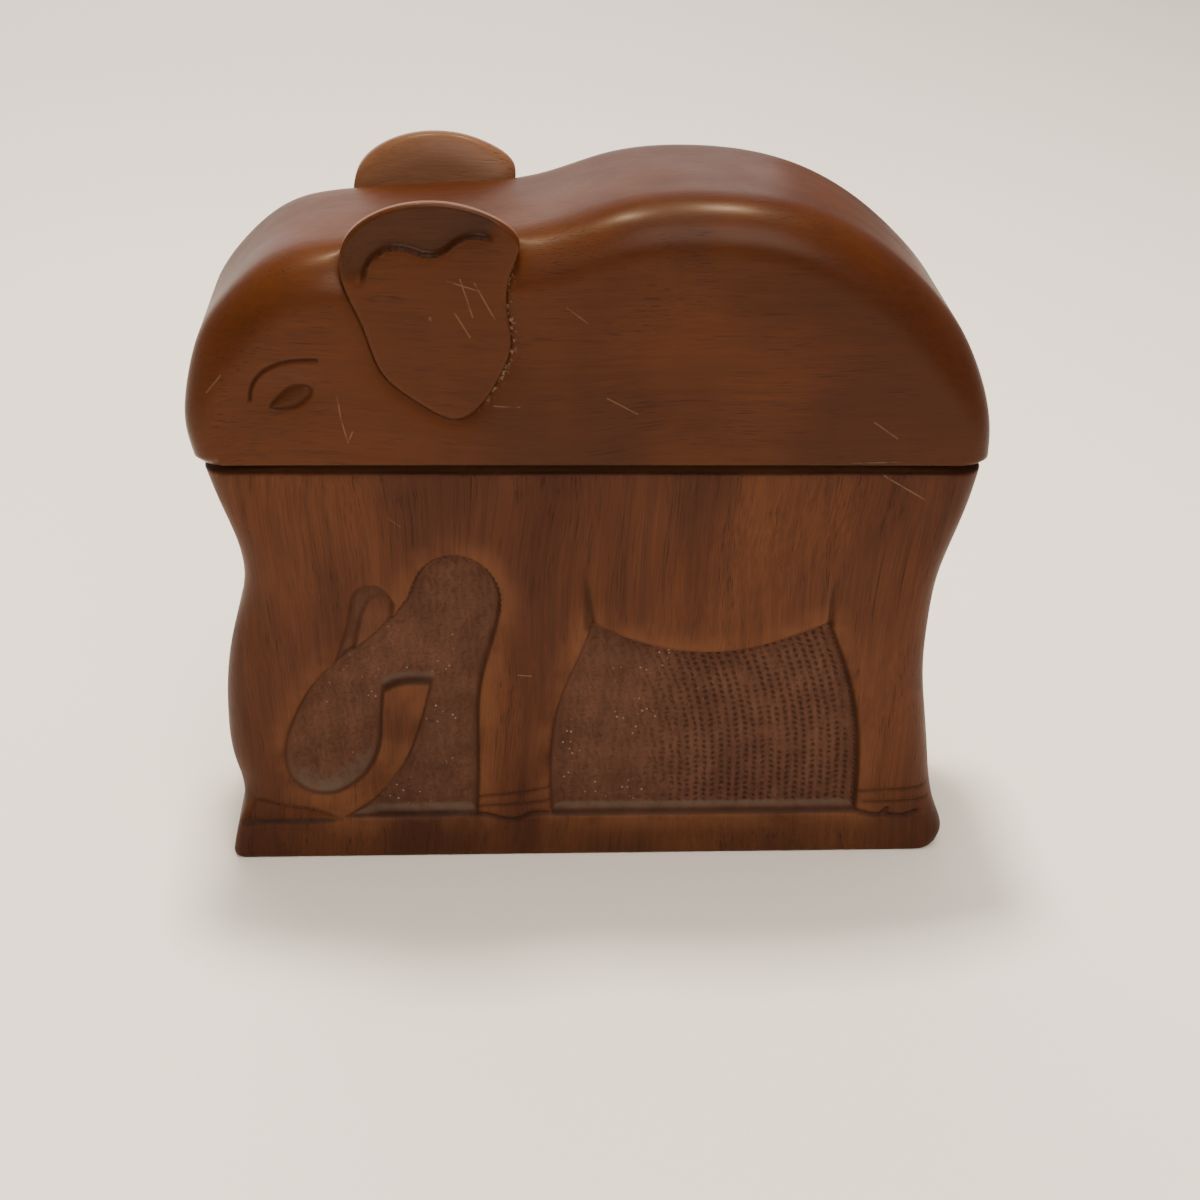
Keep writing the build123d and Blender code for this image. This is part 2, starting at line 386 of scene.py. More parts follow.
def tapered_groove(x, z, points, depth, width):
    """Crease that widens and deepens from its first point to its last."""
    line = smooth_line(points, 40)
    gap, along = distance_to(x, z, line)
    share = along / np.hypot(*np.diff(line, axis=0).T).sum()
    return depth * share**0.7 * np.exp(-((gap / (width * (0.35 + 0.65 * share))) ** 2))


def ground_wall(inside, wall):
    """Depth of a sunk ground: its wall drops steeply from the edge and hollows out into
    the floor, relief * (1 - (1 - inside / wall)^2.6), and the edge itself is rounded a
    little on the raised side."""
    down = RELIEF * (1 - (1 - np.clip(inside / wall, 0, 1)) ** 2.6)
    rubbed = EDGE_SOFTENING * np.clip(1 + inside / 0.7, 0, 1) ** 2
    return np.where(inside > 0, down + EDGE_SOFTENING * np.clip(1 - inside / wall, 0, 1), rubbed)


ROW_GAP = 2.05              # between columns of punch marks
DOT_GAP = 1.6               # between the marks of a column
BORDER_GAP = 1.45           # between the marks that follow a ground's edge


def carve_body(x, z):
    """Depth of the carving at each point of a face, with the point values that the wood's
    finish needs: how far the point is inside a punched ground, where the punch marks
    fall, where wear lies, and the cut lines that get painted shade."""
    trunk_in, trunk_along = reach(x, z, TRUNK_GROUND)
    belly_in, belly_along = reach(x, z, BELLY_GROUND)
    mouth_in, _ = reach(x, z, MOUTH)
    curl = ease(-z, -36, -22) * ease(-x, 50, 56)
    ledge = 0.5 * ease(-z, -17, -13)
    trunk_depth = ground_wall(trunk_in, 2.0 + 5.0 * curl + ledge)
    depth = np.maximum(trunk_depth, ground_wall(belly_in, 1.8 + ledge))
    lip_in, _ = reach(x, z, np.array(LOWER_LIP))
    mouth_depth = ground_wall(mouth_in, 2.2)
    slope = np.clip(1.6 + 0.10 * (x + 55.5) + 0.09 * (z - 62), 1.2, RELIEF - 0.3)
    lip = ease(lip_in, -0.1, 1.0)
    mouth_depth = mouth_depth * (1 - lip) + np.minimum(mouth_depth, slope) * lip
    by_mouth = np.maximum(np.where(trunk_in > 0, depth, 0), mouth_depth)
    depth = np.where(mouth_in > -0.7, by_mouth, depth)
    depth = np.where(trunk_in > 0, np.maximum(depth, trunk_depth), depth)

    inside = np.maximum(trunk_in, belly_in)
    raised = 1 - ease(inside, -0.1, 0.5)
    lines = np.zeros_like(x)
    for cut in CUTS:
        lines = np.maximum(lines, groove(x, z, *cut))
    for crease in CREASES:
        lines = np.maximum(lines, tapered_groove(x, z, *crease))
    # Under the trunk's foot line the wood falls away in a bevel; elsewhere it swells a little.
    foot = smooth_line(TRUNK_FOOT_LINE, 60)
    under = np.interp(x, foot[:, 0], foot[:, 1]) - z
    bevel = 1.5 * ease(under, 0, 1.2) * ease(-x, 58, 64) * ease(z, 9.8, 11.2)
    swell = np.clip(0.35 * wobble(x, z, 34.0, 7), 0, 0.4)
    depth = depth + raised * (np.maximum(lines, bevel) + swell)

    # Rows of punch marks: columns run with the hind leg's edge or the fore leg's edge.
    leg = smooth_line(HIND_LEG_EDGE, 80)
    fore = smooth_line(FORE_LEG_EDGE[:4], 80)
    from_hind = np.interp(-z, -leg[:, 1], leg[:, 0]) - x
    from_fore = np.interp(z, fore[:, 1], fore[:, 0]) - x
    by_trunk = x < -15
    across = np.where(by_trunk, from_fore, from_hind) / ROW_GAP
    up = z / DOT_GAP
    loose = np.where(by_trunk, 0.42, 0.06 + 0.4 * ease(-x, -34, 10))
    across = across + loose * wobble(x, z, 4.2, 11)
    up = up + loose * 1.3 * wobble(x, z, 3.6, 12) + 0.25 * np.sin(across * 2.2)
    off_x = (across - np.floor(across) - 0.5) * ROW_GAP
    off_z = (up - np.floor(up) - 0.5) * DOT_GAP
    dot = np.clip(1 - np.hypot(off_x, off_z * 0.8) / 0.7, 0, 1)
    floor = ease(inside, 1.6, 2.3)
    depth = depth + 0.35 * dot * floor + 0.12 * floor * wobble(x, z, 2.2, 13)

    along = np.where(trunk_in > belly_in, trunk_along, belly_along) / BORDER_GAP
    fields = {
        "ground": np.maximum(ease(inside, -0.05, 0.6),
                             ease(mouth_in, -0.05, 0.6) * (1 - 0.6 * ease(lip_in, 0, 0.8))),
        "inside": inside,
        # How deep the cut lines are; the finish paints shade into them.
        "groove": np.clip(raised * np.minimum(lines, 0.7), 0, 1),
        "rows": np.stack([across, up], -1),
        "border": np.stack([inside, along], -1),
        "raw": np.zeros_like(x),
    }
    return depth, fields


def snap(x, z, outline, pull):
    """Draws points onto an outline: each moves along the gradient of its signed distance
    d by d exp(-(d / pull)^2), so that the carved edge runs along the mesh's own edges."""
    step = 0.05
    here, _ = reach(x, z, outline)
    move = -here * np.exp(-((here / pull) ** 2))
    dx = (reach(x + step, z, outline)[0] - here) / step
    dz = (reach(x, z + step, outline)[0] - here) / step
    size = np.maximum(np.hypot(dx, dz), 0.3)
    return x + move * dx / size, z + move * dz / size


def body_heights():
    """Heights of the body's outer rings, closest where the carving is."""
    share = spread([(0, 1.0), (0.06, 1.0), (0.08, 1.6), (0.80, 1.6), (0.82, 0.6), (1, 0.6)], 170)
    return share * BODY_TOP


def body_outside():
    """Outer rings of the body from the underside's edge to the rim's edge, both edges
    turned on small quarter circles, with the carving sunk along each face."""
    z = body_heights()
    turn = np.linspace(0, pi / 2, 4)[:-1]
    low = z[(z > EDGE_ROUND) & (z < BODY_TOP - EDGE_ROUND)]
    foot = EDGE_ROUND * (1 - np.cos(turn))
    rim = BODY_TOP - EDGE_ROUND + EDGE_ROUND * np.sin(turn + turn[1])
    height = np.r_[foot, EDGE_ROUND, low, BODY_TOP - EDGE_ROUND, rim]
    inset = np.r_[EDGE_ROUND * (1 - np.sin(turn)), np.zeros(len(low) + 2),
                  EDGE_ROUND * (1 - np.cos(turn + turn[1]))]
    left, right = end_lines(height)
    risen = ease(height, 11, 24)
    trunk_round = PLINTH_TRUNK_ROUND + (END_ROUND - PLINTH_TRUNK_ROUND) * risen
    tail_round = PLINTH_TAIL_ROUND + (END_ROUND - PLINTH_TAIL_ROUND) * risen
    x, y, nx, ny = plan(left + inset, right - inset, HALF_DEPTH - inset,
                        trunk_round - inset, tail_round - inset)
    z = np.repeat(height[:, None], x.shape[1], 1)
    face = ease(np.abs(ny), 0.75, 0.98)
    x, z = x.copy(), z.copy()
    for outline in (TRUNK_GROUND, BELLY_GROUND):
        for side, pull in ((ny < -0.99, 0.36), (ny > 0.99, 0.6)):
            x[side], z[side] = snap(x[side], z[side], outline, pull)
    depth, fields = carve_body(x, z)
    depth = depth * face * (ease(z, 0.2, 2.0) * 0.98 + 0.02)
    points = np.stack([x - nx * depth, y - ny * depth, z], -1)
    fields["ground"] = fields["ground"] * face
    return points, fields


def still_fields(shape, raw):
    """Point values of a surface with no carving; raw is 1 where the wood was never waxed."""
    return {
        "ground": np.zeros(shape), "inside": np.full(shape, -20.0), "groove": np.zeros(shape),
        "rows": np.zeros((*shape, 2)), "border": np.zeros((*shape, 2)),
        "raw": np.full(shape, raw),
    }


def inner_rings(steps):
    """Rings with a plain round-cornered plan: steps lists (half length, half depth,
    corner, height)."""
    half_length, half_depth, corner, height = np.array(steps, float).T
    x, y, _, _ = plan(-half_length, half_length, half_depth, corner, corner)
    return np.stack([x, y, np.repeat(height[:, None], x.shape[1], 1)], -1)


def cove_steps(half_length, half_depth, corner, height, way):
    """Steps round a quarter circle of radius COVE from a hollow's wall to its level end;
    way is 1 for a floor and -1 for a ceiling."""
    steps = []
    for turn in np.linspace(0, pi / 2, 5)[1:]:
        tuck = COVE * (1 - cos(turn))
        steps.append((half_length - tuck, half_depth - tuck, corner - tuck,
                      height + way * COVE * (1 - sin(turn))))
    return steps


def body_inside():
    """Rim, raised lip and cavity, from the rim's edge inwards and down to the floor."""
    out_l, out_d = CAVITY_HALF_LENGTH + LIP_WALL, CAVITY_HALF_DEPTH + LIP_WALL
    corner = CAVITY_CORNER + LIP_WALL
    steps = [
        (out_l, out_d, corner, BODY_TOP), (out_l, out_d, corner, LIP_TOP - 0.5),
        (out_l - 0.5, out_d - 0.5, corner - 0.5, LIP_TOP),
        (CAVITY_HALF_LENGTH + 0.5, CAVITY_HALF_DEPTH + 0.5, CAVITY_CORNER + 0.5, LIP_TOP),
        (CAVITY_HALF_LENGTH, CAVITY_HALF_DEPTH, CAVITY_CORNER, LIP_TOP - 0.5),
    ]
    for height in np.linspace(LIP_TOP - 12, CAVITY_FLOOR + COVE, 8):
        steps.append((CAVITY_HALF_LENGTH, CAVITY_HALF_DEPTH, CAVITY_CORNER, height))
    steps += cove_steps(CAVITY_HALF_LENGTH, CAVITY_HALF_DEPTH, CAVITY_CORNER, CAVITY_FLOOR, 1)
    for share in (0.7, 0.35):
        steps.append(((CAVITY_HALF_LENGTH - COVE) * share, (CAVITY_HALF_DEPTH - COVE) * share,
                      (CAVITY_CORNER - COVE) * share, CAVITY_FLOOR))
    return inner_rings(steps)


def underside():
    """Rings of the flat underside, from near its middle out to its edge."""
    return inner_rings([(80.0 * s, 26.0 * s, 7.0 * s, 0.0) for s in (0.25, 0.5, 0.75, 0.95)])


def stacked(blocks):
    """Blocks of rings and their point values laid one after another, closed by a pole
    below the first ring and one past the last."""
    rings = np.concatenate([points for points, _ in blocks])
    count = rings.shape[1]
    fields = {}
    for label in blocks[0][1]:
        parts = [values[label] for _, values in blocks]
        merged = np.concatenate(parts).reshape(-1, *parts[0].shape[2:])
        fields[label] = np.concatenate([merged, merged[:1], merged[-1:]])
    first = rings[0].mean(0)
    last = rings[-1].mean(0)
    points = np.vstack([rings.reshape(-1, 3), first, last])
    total = len(rings) * count
    ring = np.arange(count)
    triangles = np.vstack([fan(ring, total, False),
                           fan(ring + total - count, total + 1, True)])
    return points, ring_quads(len(rings), count), triangles, fields


def make_body():
    """The body as one closed skin."""
    under = underside()
    outside, fields = body_outside()
    inside = body_inside()
    blocks = [(under, still_fields(under.shape[:2], 0.7)), (outside, fields),
              (inside, still_fields(inside.shape[:2], 1.0))]
    points, quads, triangles, fields = stacked(blocks)
    return put_mesh("carved_body", points, quads, triangles, fields)


# ---- Lid ----
LID_COLUMNS = 372
FACE_ROWS = 118
BACK_FACE_ROWS = 46
ROUND_ROWS = 11
TOP_ROWS = 9
LID_LOW_ROUND = 6.0         # round-over of the lid's edges near its foot
LID_HIGH_ROUND = 11.5       # and along the back
FACE_BAND = 6.0             # carving on the lid stops this far round from its flat faces

EYE_CREASE = [
    (-74.9, 122.4), (-74.3, 125.3), (-73.0, 127.6), (-70.5, 129.7), (-66.5, 131.2), (-60.3, 131.6),
]
EYE_RIM = [
    (-70.4, 120.7), (-68.0, 123.6), (-65.1, 125.4), (-61.7, 124.8), (-63.0, 122.4), (-65.9, 120.7),
]


def carve_lid(x, z):
    """Depth of the carving on the head's and back's faces: a soft bed that dips towards
    the ear, the crease over the eye, and the almond eye in its shallow socket."""
    ear_in, _ = reach(x, z, EAR_OUTLINE)
    outside = np.clip(-ear_in, 0, None)
    bed = 1.1 * np.exp(-outside / 2.4)
    bed = np.where(ear_in > 0, 1.1 + np.clip(ear_in, 0, 1.5), bed)
    almond = smooth_line(EYE_RIM, 120, closed=True)
    almond = np.vstack([almond, almond[:1]])
    eye_in, _ = reach(x, z, almond)
    rim = 0.4 * np.exp(-((eye_in / 0.4) ** 2))
    socket = 0.7 * np.exp(-(((x + 66.5) / 7.5) ** 2) - (((z - 124.4) / 4.6) ** 2))
    ball = 0.35 * np.clip(eye_in / 1.6, 0, 1)
    crease = smooth_line(EYE_CREASE, 60)
    gap, _ = distance_to(x, z, crease)
    brow = 0.45 * np.exp(-((gap / 0.4) ** 2))
    depth = bed + np.maximum(rim, brow) + socket - ball * (eye_in > 0)
    # Painted shade in the crease over the eye, round the eye's rim, in the eye, and in the trench
    # round the ear.
    painted_crease_shade = np.maximum(0.8 * np.exp(-((gap / 0.4) ** 2)), 0.6 * np.exp(-((eye_in / 0.4) ** 2)))
    painted_crease_shade = np.maximum(painted_crease_shade, 0.35 * (eye_in > 0))
    painted_trench_shade = 0.25 * np.exp(-outside / 0.6)
    beside = ease(x, -34, -20) * ease(z, 118, 126) * ease(-z, -156, -146)
    residue = np.exp(-((outside / 0.9) ** 2)) * beside
    return depth, {"groove": np.maximum(painted_crease_shade, painted_trench_shade), "residue": residue}


def lid_sheet():
    """Outer skin of the lid as a grid. Each column is one section of the back line: up the
    near face from the lower edge, round over to the top, across, and down the far face.
    Between the lower edge b and the start of the round-over t the face is b + s (t - b);
    the round-over is t + n r sin(turn) with the depth r (1 - cos(turn)) from the face."""
    line = smooth_line(LID_BACK_LINE, 3000)
    run = np.r_[0, np.cumsum(np.hypot(*np.diff(line, axis=0).T))]
    share = spread([(0, 0.8), (0.07, 1.6), (0.25, 1.6), (0.27, 1.5), (0.42, 1.5), (0.46, 0.75),
                    (1, 0.75)], LID_COLUMNS - 1)
    at = share * run[-1]
    px, pz = np.interp(at, run, line[:, 0]), np.interp(at, run, line[:, 1])
    tx, tz = np.gradient(px), np.gradient(pz)
    size = np.hypot(tx, tz)
    nx, nz = -tz / size, tx / size
    nx[0], nz[0], nx[-1], nz[-1] = -1, 0, 1, 0
    radius = LID_LOW_ROUND + (LID_HIGH_ROUND - LID_LOW_ROUND) * ease(pz, 112, 140)
    sx, sz = px - nx * radius, np.maximum(pz - nz * radius, LID_BOTTOM)
    sz[0] = sz[-1] = LID_BOTTOM
    foot = sx[0] + (sx[-1] - sx[0]) * (0.65 * share + 0.35 * (sx - sx[0]) / (sx[-1] - sx[0]))
    up = np.linspace(0, 1, FACE_ROWS)[:, None]
    far_up = np.linspace(1, 0, BACK_FACE_ROWS)[:, None]
    turn = np.linspace(0, pi / 2, ROUND_ROWS)[1:, None]
    face_x = foot + up * (sx - foot)
    face_z = LID_BOTTOM + up * (sz - LID_BOTTOM)
    face_y = np.full_like(face_x, -HALF_DEPTH)
    over_x = sx + nx * radius * np.sin(turn)
    over_z = sz + nz * radius * np.sin(turn)
    over_y = -HALF_DEPTH + radius * (1 - np.cos(turn))
    across = np.linspace(-1, 1, TOP_ROWS + 2)[1:-1, None]
    top_y = across * (HALF_DEPTH - radius)
    top_x = np.broadcast_to(px, top_y.shape)
    top_z = np.broadcast_to(pz, top_y.shape)
    back_x = foot + far_up * (sx - foot)
    back_z = LID_BOTTOM + far_up * (sz - LID_BOTTOM)
    x = np.vstack([face_x, over_x, top_x, over_x[::-1], back_x])
    y = np.vstack([face_y, over_y, top_y, -over_y[::-1], np.full_like(back_x, HALF_DEPTH)])
    z = np.vstack([face_z, over_z, top_z, over_z[::-1], back_z])
    return x, y, z


def make_lid():
    """The lid as one closed skin: the outer sheet, and rings from its lower edge through
    the rebate for the lip to the ceiling of the hollow."""
    x, y, z = lid_sheet()
    rows, columns = x.shape
    by_face = HALF_DEPTH - np.abs(y) < FACE_BAND
    depth, fields = carve_lid(x, z)
    face = 1 - ease(HALF_DEPTH - np.abs(y), 1.0, 8.0)
    low_edge = ease(z, LID_BOTTOM + 0.2, LID_BOTTOM + 1.6)
    depth = np.where(by_face, depth * face * low_edge, 0)
    y = np.where(y < 0, y + depth, y - depth)
    x = np.clip(x, lid_low.x / MM, lid_high.x / MM)
    lower = LID_BOTTOM + EDGE_ROUND
    tuck = np.clip((lower - z) / EDGE_ROUND, 0, 1)
    shrink = EDGE_ROUND * (1 - np.sqrt(np.clip(1 - tuck**2, 0, 1)))
    y = y * (1 - shrink / HALF_DEPTH)
    x = x * (1 - shrink / HALF_LENGTH)
    sheet = np.stack([x, y, z], -1).reshape(-1, 3)
    painted_groove_shade = np.where(by_face, fields["groove"] * face, 0).reshape(-1)

    number = np.arange(rows * columns).reshape(rows, columns)
    a, b = number[:-1, :-1], number[:-1, 1:]
    c, d = number[1:, 1:], number[1:, :-1]
    quads = [np.stack([a, b, c, d], -1).reshape(-1, 4)]
    strip = np.arange(FACE_ROWS - 1, rows - BACK_FACE_ROWS + 1)
    edge = np.concatenate([number[0, :-1], number[strip, -1][:-1], number[-1, ::-1][:-1],
                           number[strip[::-1], 0][:-1]])
    count = len(edge)
    place = edge_place(sheet[edge])
    rebate_l = CAVITY_HALF_LENGTH + LIP_WALL + LIP_PLAY
    rebate_d = CAVITY_HALF_DEPTH + LIP_WALL + LIP_PLAY
    rebate_c = CAVITY_CORNER + LIP_WALL + LIP_PLAY
    hollow = (LID_HOLLOW_HALF_LENGTH, CAVITY_HALF_DEPTH, CAVITY_CORNER)
    steps = [(rebate_l, rebate_d, rebate_c, LID_BOTTOM), (rebate_l, rebate_d, rebate_c, LIP_TOP),
             (*hollow, LIP_TOP)]
    for height in np.linspace(LIP_TOP + 5, LID_HOLLOW_TOP - COVE, 5):
        steps.append((*hollow, height))
    steps += cove_steps(*hollow, LID_HOLLOW_TOP, -1)
    steps.append(((hollow[0] - COVE) * 0.5, (hollow[1] - COVE) * 0.5, 2.0, LID_HOLLOW_TOP))
    rings = np.array([round_box_ring(place, *step) for step in steps])
    start = rows * columns
    ring_ids = np.vstack([edge, start + np.arange(len(rings) * count).reshape(len(rings), count)])
    there = np.roll(ring_ids, -1, 1)
    quads.append(np.stack([there[:-1], ring_ids[:-1], ring_ids[1:], there[1:]], -1).reshape(-1, 4))
    pole = start + len(rings) * count
    triangles = fan(ring_ids[-1], pole, False)
    points = np.vstack([sheet, rings.reshape(-1, 3), rings[-1].mean(0)])
    painted_groove_shade = np.r_[painted_groove_shade, np.zeros(len(rings) * count + 1)]
    residue = np.where(by_face & (y < 0), fields["residue"], 0).reshape(-1)
    residue = np.r_[residue, np.zeros(len(rings) * count + 1)]
    raw = np.r_[np.zeros(rows * columns), np.ones(len(rings) * count + 1)]
    return put_mesh("carved_lid", points, np.vstack(quads), triangles,
                    {"groove": painted_groove_shade, "residue": residue, "raw": raw, "band": raw * 0,
                     "painted_light_side": raw * 0})


def edge_place(loop):
    """Each point's place on the closed lower edge as a direction from the middle, scaled
    so that the edge's box is a square: (x / half length, y / half depth)."""
    return loop[:, :2] / np.abs(loop[:, :2]).max(0)


def round_box_ring(place, half_l, half_d, corner, height):
    """Ring of a round-cornered box that follows the lower edge point by point: the point
    is first put on the plain rectangle, then drawn in at the corners: q = clip(p, inner
    box), p = q + corner * unit(p - q)."""
    p = place * [half_l, half_d]
    reach_out = np.maximum(np.abs(p[:, 0]) / half_l, np.abs(p[:, 1]) / half_d)
    p = p / reach_out[:, None]
    q = np.stack([np.clip(p[:, 0], -(half_l - corner), half_l - corner),
                  np.clip(p[:, 1], -(half_d - corner), half_d - corner)], -1)
    away = p - q
    away = away / np.maximum(np.hypot(*away.T), 1e-9)[:, None]
    return np.c_[q + away * corner, np.full(len(p), height)]


# ---- Ears ----
EAR_MIDDLE = np.array([-36.0, 141.0])
EAR_FACE_RINGS = 46
EAR_RIM_RINGS = 16
EAR_BACK_RINGS = 22
EAR_THICKNESS = 8.0         # at the ear's root
EAR_RIM_THINNING = 5.4      # how much thinner it is at the upper rim


def ear_face_depth(x, z):
    """How far the ear's face lies behind the block's face: flush below the fold, a
    scooped band above it that is deepest at the fold and comes out again to the rim,
    1.6 * (1 - t)^1.2 with t from the fold to the rim, and a rounded outer edge."""
    inside, _ = reach(x, z, EAR_OUTLINE)
    fold = smooth_line(EAR_FOLD, 90)
    gap, along = distance_to(x, z, fold)
    share = along / np.hypot(*np.diff(fold, axis=0).T).sum()
    over = np.interp(x, fold[:, 0], fold[:, 1])
    above = (z > over) | ((x < -49.0) & (z > 146))
    t = gap / np.maximum(gap + np.clip(inside, 0, None), 1e-6)
    fade = ease(share, 0.0, 0.12) * (1 - ease(share, 0.93, 1.0))
    scoop = 1.6 * (1 - t) ** 1.2 * fade
    band = np.where(above, scoop * ease(gap, 0.0, 1.0), 0)
    soft = np.where(above, 0, 0.35 * np.exp(-gap / 1.1) * fade)
    edge = 0.6 * (1 - np.clip(inside / 1.1, 0, 1)) ** 2
    # Masks for painted shade: a dark line along the fold, and the scooped band above it.
    line = 0.62 * np.where(above, np.exp(-((gap / 0.5) ** 2)), np.exp(-((gap / 0.22) ** 2))) * fade
    return band + soft + edge, line, above * ease(inside, 0, 1) * fade


def make_ear(name, side):
    """One ear as a closed slab: rings shrink from the outline to the middle on the face,
    go round the edge, and shrink again on the side that looks inwards. The inner side
    hollows out towards the rim. side is -1 for the near ear and 1 for the far ear."""
    shares = np.r_[np.linspace(0.03, 0.86, EAR_FACE_RINGS), np.linspace(0.87, 1.0, EAR_RIM_RINGS)]
    ring = EAR_MIDDLE + shares[:, None, None] * (EAR - EAR_MIDDLE)
    x, z = ring[..., 0], ring[..., 1]
    depth, line, band = ear_face_depth(x, z)
    face = np.stack([x, -HALF_DEPTH + depth, z], -1)
    thick = EAR_THICKNESS - EAR_RIM_THINNING * ease(EAR[:, 1], 143, CROWN)
    walls = [np.c_[EAR[:, 0], -HALF_DEPTH + 0.5 + (thick - 1.0) * share, EAR[:, 1]]
             for share in (0.25, 0.5, 0.75, 0.93)]
    back_shares = np.r_[0.985, np.linspace(0.95, 0.05, EAR_BACK_RINGS)]
    back = EAR_MIDDLE + back_shares[:, None, None] * (EAR - EAR_MIDDLE)
    back_rise = ease(back[..., 1], 143, CROWN)
    hollow = EAR_THICKNESS - 3.0 * back_rise
    from_rim, _ = reach(back[..., 0], back[..., 1], EAR_OUTLINE)
    soften = 2.6 * back_rise * np.exp(-from_rim / 3.4)
    back_face = np.stack([back[..., 0], -HALF_DEPTH + hollow - soften, back[..., 1]], -1)
    rings = np.concatenate([face, np.array(walls), back_face])
    count = rings.shape[1]
    points = np.vstack([rings.reshape(-1, 3), rings[0].mean(0), rings[-1].mean(0)])
    total = len(rings) * count
    quads = ring_quads(len(rings), count)
    base = np.arange(count)
    triangles = np.vstack([fan(base, total, False), fan(base + total - count, total + 1, True)])
    blank = np.zeros(len(points))
    painted_groove_shade, painted_band_shade, painted_light_side = blank.copy(), blank.copy(), blank.copy()
    # Painted shade along the fold.
    painted_groove_shade[:line.size] = line.ravel()
    # Painted shade on the scooped band above the fold.
    painted_band_shade[:band.size] = band.ravel()
    # Painted light: the ear's edge and inner side are made lighter.
    painted_light_side[line.size:-1] = 1
    if side > 0:
        points = points * [1, -1, 1]
        quads, triangles = quads[:, ::-1], triangles[:, ::-1]
    return put_mesh(name, points, quads, triangles, {
        "groove": painted_groove_shade, "residue": blank, "raw": blank, "band": painted_band_shade, "painted_light_side": painted_light_side})


# ---- Materials ----
class Bench:
    """Node tree of one material. Each method adds nodes and gives back an output; what it
    is given may be another node's output or a constant. Places are in millimetres."""

    def __init__(self, name, grain):
        self.material = bpy.data.materials.new(name)
        self.material.use_nodes = True
        self.tree = self.material.node_tree
        self.shader = self.tree.nodes["Principled BSDF"]
        self.grain = grain
        metres = self.add("ShaderNodeTexCoord", {}, "Object")
        self.place = self.add("ShaderNodeMapping", {"Vector": metres, "Scale": (1000, 1000, 1000)})
        slow = {"Vector": self.place, "Scale": 0.013, "Detail": 1.0}
        drift = self.add("ShaderNodeTexNoise", slow, "Color")
        sway = self.vector("SCALE", {0: drift, "Scale": 14.0})
        self.swayed = self.vector("ADD", {0: self.place, 1: sway})

    def add(self, node, inputs, output=0, **settings):
        made = self.tree.nodes.new(node)
        for key, value in settings.items():
            setattr(made, key, value)
        for key, value in inputs.items():
            self.put(made.inputs[key], value)
        return made.outputs[output]

    def put(self, socket, value):
        if isinstance(value, bpy.types.NodeSocket):
            self.tree.links.new(value, socket)
        else:
            socket.default_value = value

    def math(self, operation, a, b=0.0, **settings):
        return self.add("ShaderNodeMath", {0: a, 1: b}, operation=operation, **settings)

    def times(self, a, b):
        return self.math("MULTIPLY", a, b)

    def plus(self, a, *more):
        for b in more:
            a = self.math("ADD", a, b)
        return a

    def less(self, a, b):
        return self.math("SUBTRACT", a, b)

    def most(self, a, b):
        return self.math("MAXIMUM", a, b)

    def vector(self, operation, inputs, output=0):
        return self.add("ShaderNodeVectorMath", inputs, output, operation=operation)

    def ramp(self, value, low, high, top=1.0):
        """0 to top while the value goes from low to high."""
        return self.add("ShaderNodeMapRange",
                        {"Value": value, "From Min": low, "From Max": high, "To Max": top},
                        interpolation_type="SMOOTHSTEP")

    def cloud(self, place, shift, scale, detail):
        spot = self.add("ShaderNodeMapping", {"Vector": place, "Location": shift, "Scale": scale})
        return self.add("ShaderNodeTexNoise", {"Vector": spot, "Scale": 1.0, "Detail": detail})

    def noise(self, size, detail=3.0, shift=0.0):
        """Cloudy noise of the given size."""
        return self.cloud(self.place, (shift, 0, shift), [1 / size] * 3, detail)

    def fibre(self, width, length, detail=2.0, shift=0.0):
        """Noise drawn out along the grain."""
        scale = [1 / width] * 3
        scale[self.grain] = 1 / length
        return self.cloud(self.swayed, (shift, shift, shift), scale, detail)

    def blend(self, factor, a, b, way="MIX"):
        a, b = (c if isinstance(c, bpy.types.NodeSocket) else (*c, 1) for c in (a, b))
        return self.add("ShaderNodeMix", {0: factor, 6: a, 7: b}, 2, data_type="RGBA", blend_type=way)

    def dim(self, factor, colour, share):
        """Colour times share where the factor is 1."""
        return self.blend(factor, colour, (share, share, share), "MULTIPLY")

    def value(self, label):
        return self.add("ShaderNodeAttribute", {}, "Fac", attribute_name=label)

    def split(self, vector, axis):
        return self.add("ShaderNodeSeparateXYZ", {"Vector": vector}, axis)

    def marks(self, label, pitch, rim, core):
        """Round marks on a lattice: how far each place is from the middle of its own cell."""
        lattice = self.add("ShaderNodeAttribute", {}, "Vector", attribute_name=label)
        cell = self.vector("FRACTION", {0: lattice})
        off = self.vector("SUBTRACT", {0: cell, 1: (0.5, 0.5, 0)})
        far = self.vector("MULTIPLY", {0: off, 1: pitch})
        length = self.vector("LENGTH", {0: far}, "Value")
        return self.ramp(length, rim, core)

    def scratch(self, start, end, width):
        """Thin line from start to end (x, z) on the near face: the length of
        p - a - t (b - a), with t kept between 0 and 1."""
        a = (start[0], 0, start[1])
        run = (end[0] - start[0], 0, end[1] - start[1])
        square = run[0] ** 2 + run[2] ** 2
        flat = self.vector("MULTIPLY", {0: self.place, 1: (1, 0, 1)})
        off = self.vector("SUBTRACT", {0: flat, 1: a})
        dot = self.vector("DOT_PRODUCT", {0: off, 1: run}, "Value")
        share = self.math("DIVIDE", dot, square, use_clamp=True)
        foot = self.vector("SCALE", {0: run, "Scale": share})
        gap = self.vector("SUBTRACT", {0: off, 1: foot})
        length = self.vector("LENGTH", {0: gap}, "Value")
        return self.ramp(length, width, width * 0.3)

